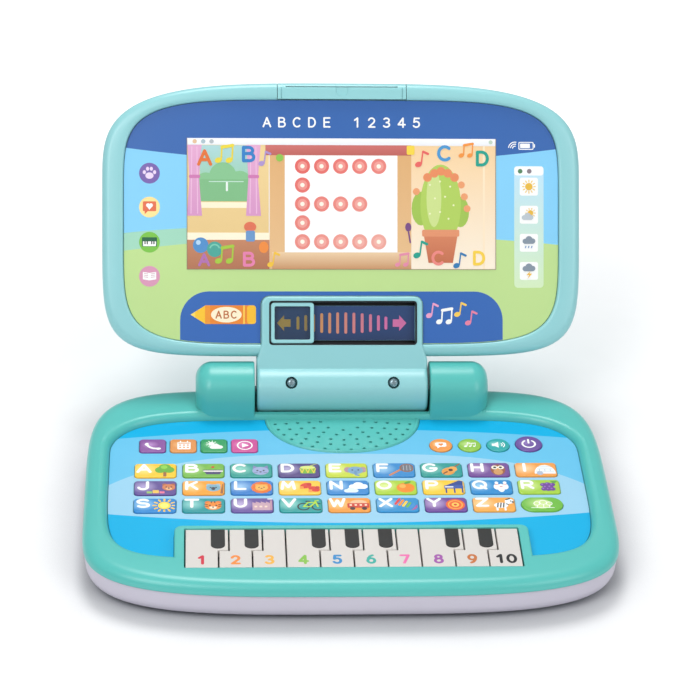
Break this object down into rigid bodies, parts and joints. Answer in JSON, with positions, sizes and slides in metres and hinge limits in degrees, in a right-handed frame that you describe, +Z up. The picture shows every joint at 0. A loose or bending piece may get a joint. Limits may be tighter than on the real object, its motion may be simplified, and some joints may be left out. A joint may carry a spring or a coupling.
{
  "type": "toy laptop computer",
  "caption": "Hinged toy laptop with a printed picture screen, a sliding mode selector, press-button alphabet keypad, small piano and a pull-out carry handle.",
  "frame": {"origin": "centre of the open laptop's bounding box, on the plane the feet stand on", "axes": "+Z up, +Y away from the user towards the hinge, +X to the user's right"},
  "size_m": [0.2968, 0.2914, 0.1863],
  "materials": {
    "teal_base": "semi-gloss injection-moulded teal",
    "teal_lid": "semi-gloss injection-moulded light teal",
    "white_casing": "satin moulded off-white with a lavender tint",
    "printed_film": "glossy printed membrane film",
    "printed_button": "glossy printed membrane pad",
    "piano_key": "satin white plastic",
    "printed_panel": "glossy back-printed clear panel",
    "circuit_board": "solder-masked board",
    "speaker_frame": "black frame and paper cone",
    "steel": "plated steel"
  },
  "bodies": {
    "base": {"base_top_casing": "teal_base", "base_bottom_casing": "white_casing", "battery_door": "white_casing", "keypad_overlay": "printed_film", "main_circuit_board": "circuit_board", "speaker": "speaker_frame", "hinge_axle": "steel"},
    "lid": {"lid_front_casing": "teal_lid", "lid_rear_casing": "teal_lid", "lid_panel": "printed_panel", "led_board": "circuit_board", "hinge_screw_left": "steel", "hinge_screw_right": "steel"},
    "mode_slider": {"mode_slider": "teal_lid"},
    "carry_handle": {"carry_handle": "teal_lid"},
    "piano_key_01": {"piano_key_01": "piano_key"},
    "piano_key_02": {"piano_key_02": "piano_key"},
    "piano_key_03": {"piano_key_03": "piano_key"},
    "piano_key_04": {"piano_key_04": "piano_key"},
    "piano_key_05": {"piano_key_05": "piano_key"},
    "piano_key_06": {"piano_key_06": "piano_key"},
    "piano_key_07": {"piano_key_07": "piano_key"},
    "piano_key_08": {"piano_key_08": "piano_key"},
    "piano_key_09": {"piano_key_09": "piano_key"},
    "piano_key_10": {"piano_key_10": "piano_key"},
    "button_a": {"button_a": "printed_button"},
    "button_b": {"button_b": "printed_button"},
    "button_c": {"button_c": "printed_button"},
    "button_d": {"button_d": "printed_button"},
    "button_e": {"button_e": "printed_button"},
    "button_f": {"button_f": "printed_button"},
    "button_g": {"button_g": "printed_button"},
    "button_h": {"button_h": "printed_button"},
    "button_i": {"button_i": "printed_button"},
    "button_j": {"button_j": "printed_button"},
    "button_k": {"button_k": "printed_button"},
    "button_l": {"button_l": "printed_button"},
    "button_m": {"button_m": "printed_button"},
    "button_n": {"button_n": "printed_button"},
    "button_o": {"button_o": "printed_button"},
    "button_p": {"button_p": "printed_button"},
    "button_q": {"button_q": "printed_button"},
    "button_r": {"button_r": "printed_button"},
    "button_s": {"button_s": "printed_button"},
    "button_t": {"button_t": "printed_button"},
    "button_u": {"button_u": "printed_button"},
    "button_v": {"button_v": "printed_button"},
    "button_w": {"button_w": "printed_button"},
    "button_x": {"button_x": "printed_button"},
    "button_y": {"button_y": "printed_button"},
    "button_z": {"button_z": "printed_button"},
    "button_tree": {"button_tree": "printed_button"},
    "button_phone": {"button_phone": "printed_button"},
    "button_calendar": {"button_calendar": "printed_button"},
    "button_weather": {"button_weather": "printed_button"},
    "button_play": {"button_play": "printed_button"},
    "button_message": {"button_message": "printed_button"},
    "button_music": {"button_music": "printed_button"},
    "button_volume": {"button_volume": "printed_button"},
    "button_power": {"button_power": "printed_button"}
  },
  "joints": [
    {"name": "lid_hinge", "type": "hinge", "parent": "base", "child": "lid", "pos_m": [0, 0.04, 0.032], "axis": [1, 0, 0], "range_deg": [0, 122]},
    {"name": "mode_slide", "type": "slide", "parent": "lid", "child": "mode_slider", "axis": [1, 0, 0], "range_m": [0, 0.0596]},
    {"name": "carry_handle_slide", "type": "slide", "parent": "lid", "child": "carry_handle", "axis": [0, 0.5299, 0.848], "range_m": [0, 0.024]},
    {"name": "play_key_01", "type": "hinge", "parent": "base", "child": "piano_key_01", "pos_m": [0, -0.092, 0.022], "axis": [1, 0, 0], "range_deg": [0, 4.5], "stiffness_Nm_per_rad": 0.05},
    {"name": "play_key_02", "type": "hinge", "parent": "base", "child": "piano_key_02", "pos_m": [0, -0.092, 0.022], "axis": [1, 0, 0], "range_deg": [0, 4.5], "stiffness_Nm_per_rad": 0.05},
    {"name": "play_key_03", "type": "hinge", "parent": "base", "child": "piano_key_03", "pos_m": [0, -0.092, 0.022], "axis": [1, 0, 0], "range_deg": [0, 4.5], "stiffness_Nm_per_rad": 0.05},
    {"name": "play_key_04", "type": "hinge", "parent": "base", "child": "piano_key_04", "pos_m": [0, -0.092, 0.022], "axis": [1, 0, 0], "range_deg": [0, 4.5], "stiffness_Nm_per_rad": 0.05},
    {"name": "play_key_05", "type": "hinge", "parent": "base", "child": "piano_key_05", "pos_m": [0, -0.092, 0.022], "axis": [1, 0, 0], "range_deg": [0, 4.5], "stiffness_Nm_per_rad": 0.05},
    {"name": "play_key_06", "type": "hinge", "parent": "base", "child": "piano_key_06", "pos_m": [0, -0.092, 0.022], "axis": [1, 0, 0], "range_deg": [0, 4.5], "stiffness_Nm_per_rad": 0.05},
    {"name": "play_key_07", "type": "hinge", "parent": "base", "child": "piano_key_07", "pos_m": [0, -0.092, 0.022], "axis": [1, 0, 0], "range_deg": [0, 4.5], "stiffness_Nm_per_rad": 0.05},
    {"name": "play_key_08", "type": "hinge", "parent": "base", "child": "piano_key_08", "pos_m": [0, -0.092, 0.022], "axis": [1, 0, 0], "range_deg": [0, 4.5], "stiffness_Nm_per_rad": 0.05},
    {"name": "play_key_09", "type": "hinge", "parent": "base", "child": "piano_key_09", "pos_m": [0, -0.092, 0.022], "axis": [1, 0, 0], "range_deg": [0, 4.5], "stiffness_Nm_per_rad": 0.05},
    {"name": "play_key_10", "type": "hinge", "parent": "base", "child": "piano_key_10", "pos_m": [0, -0.092, 0.022], "axis": [1, 0, 0], "range_deg": [0, 4.5], "stiffness_Nm_per_rad": 0.05},
    {"name": "press_button_a", "type": "slide", "parent": "base", "child": "button_a", "axis": [0, 0, -1], "range_m": [0, 0.0008], "stiffness_N_per_m": 300},
    {"name": "press_button_b", "type": "slide", "parent": "base", "child": "button_b", "axis": [0, 0, -1], "range_m": [0, 0.0008], "stiffness_N_per_m": 300},
    {"name": "press_button_c", "type": "slide", "parent": "base", "child": "button_c", "axis": [0, 0, -1], "range_m": [0, 0.0008], "stiffness_N_per_m": 300},
    {"name": "press_button_d", "type": "slide", "parent": "base", "child": "button_d", "axis": [0, 0, -1], "range_m": [0, 0.0008], "stiffness_N_per_m": 300},
    {"name": "press_button_e", "type": "slide", "parent": "base", "child": "button_e", "axis": [0, 0, -1], "range_m": [0, 0.0008], "stiffness_N_per_m": 300},
    {"name": "press_button_f", "type": "slide", "parent": "base", "child": "button_f", "axis": [0, 0, -1], "range_m": [0, 0.0008], "stiffness_N_per_m": 300},
    {"name": "press_button_g", "type": "slide", "parent": "base", "child": "button_g", "axis": [0, 0, -1], "range_m": [0, 0.0008], "stiffness_N_per_m": 300},
    {"name": "press_button_h", "type": "slide", "parent": "base", "child": "button_h", "axis": [0, 0, -1], "range_m": [0, 0.0008], "stiffness_N_per_m": 300},
    {"name": "press_button_i", "type": "slide", "parent": "base", "child": "button_i", "axis": [0, 0, -1], "range_m": [0, 0.0008], "stiffness_N_per_m": 300},
    {"name": "press_button_j", "type": "slide", "parent": "base", "child": "button_j", "axis": [0, 0, -1], "range_m": [0, 0.0008], "stiffness_N_per_m": 300},
    {"name": "press_button_k", "type": "slide", "parent": "base", "child": "button_k", "axis": [0, 0, -1], "range_m": [0, 0.0008], "stiffness_N_per_m": 300},
    {"name": "press_button_l", "type": "slide", "parent": "base", "child": "button_l", "axis": [0, 0, -1], "range_m": [0, 0.0008], "stiffness_N_per_m": 300},
    {"name": "press_button_m", "type": "slide", "parent": "base", "child": "button_m", "axis": [0, 0, -1], "range_m": [0, 0.0008], "stiffness_N_per_m": 300},
    {"name": "press_button_n", "type": "slide", "parent": "base", "child": "button_n", "axis": [0, 0, -1], "range_m": [0, 0.0008], "stiffness_N_per_m": 300},
    {"name": "press_button_o", "type": "slide", "parent": "base", "child": "button_o", "axis": [0, 0, -1], "range_m": [0, 0.0008], "stiffness_N_per_m": 300},
    {"name": "press_button_p", "type": "slide", "parent": "base", "child": "button_p", "axis": [0, 0, -1], "range_m": [0, 0.0008], "stiffness_N_per_m": 300},
    {"name": "press_button_q", "type": "slide", "parent": "base", "child": "button_q", "axis": [0, 0, -1], "range_m": [0, 0.0008], "stiffness_N_per_m": 300},
    {"name": "press_button_r", "type": "slide", "parent": "base", "child": "button_r", "axis": [0, 0, -1], "range_m": [0, 0.0008], "stiffness_N_per_m": 300},
    {"name": "press_button_s", "type": "slide", "parent": "base", "child": "button_s", "axis": [0, 0, -1], "range_m": [0, 0.0008], "stiffness_N_per_m": 300},
    {"name": "press_button_t", "type": "slide", "parent": "base", "child": "button_t", "axis": [0, 0, -1], "range_m": [0, 0.0008], "stiffness_N_per_m": 300},
    {"name": "press_button_u", "type": "slide", "parent": "base", "child": "button_u", "axis": [0, 0, -1], "range_m": [0, 0.0008], "stiffness_N_per_m": 300},
    {"name": "press_button_v", "type": "slide", "parent": "base", "child": "button_v", "axis": [0, 0, -1], "range_m": [0, 0.0008], "stiffness_N_per_m": 300},
    {"name": "press_button_w", "type": "slide", "parent": "base", "child": "button_w", "axis": [0, 0, -1], "range_m": [0, 0.0008], "stiffness_N_per_m": 300},
    {"name": "press_button_x", "type": "slide", "parent": "base", "child": "button_x", "axis": [0, 0, -1], "range_m": [0, 0.0008], "stiffness_N_per_m": 300},
    {"name": "press_button_y", "type": "slide", "parent": "base", "child": "button_y", "axis": [0, 0, -1], "range_m": [0, 0.0008], "stiffness_N_per_m": 300},
    {"name": "press_button_z", "type": "slide", "parent": "base", "child": "button_z", "axis": [0, 0, -1], "range_m": [0, 0.0008], "stiffness_N_per_m": 300},
    {"name": "press_button_tree", "type": "slide", "parent": "base", "child": "button_tree", "axis": [0, 0, -1], "range_m": [0, 0.0008], "stiffness_N_per_m": 300},
    {"name": "press_button_phone", "type": "slide", "parent": "base", "child": "button_phone", "axis": [0, 0, -1], "range_m": [0, 0.0008], "stiffness_N_per_m": 300},
    {"name": "press_button_calendar", "type": "slide", "parent": "base", "child": "button_calendar", "axis": [0, 0, -1], "range_m": [0, 0.0008], "stiffness_N_per_m": 300},
    {"name": "press_button_weather", "type": "slide", "parent": "base", "child": "button_weather", "axis": [0, 0, -1], "range_m": [0, 0.0008], "stiffness_N_per_m": 300},
    {"name": "press_button_play", "type": "slide", "parent": "base", "child": "button_play", "axis": [0, 0, -1], "range_m": [0, 0.0008], "stiffness_N_per_m": 300},
    {"name": "press_button_message", "type": "slide", "parent": "base", "child": "button_message", "axis": [0, 0, -1], "range_m": [0, 0.0008], "stiffness_N_per_m": 300},
    {"name": "press_button_music", "type": "slide", "parent": "base", "child": "button_music", "axis": [0, 0, -1], "range_m": [0, 0.0008], "stiffness_N_per_m": 300},
    {"name": "press_button_volume", "type": "slide", "parent": "base", "child": "button_volume", "axis": [0, 0, -1], "range_m": [0, 0.0008], "stiffness_N_per_m": 300},
    {"name": "press_button_power", "type": "slide", "parent": "base", "child": "button_power", "axis": [0, 0, -1], "range_m": [0, 0.0008], "stiffness_N_per_m": 300}
  ]
}
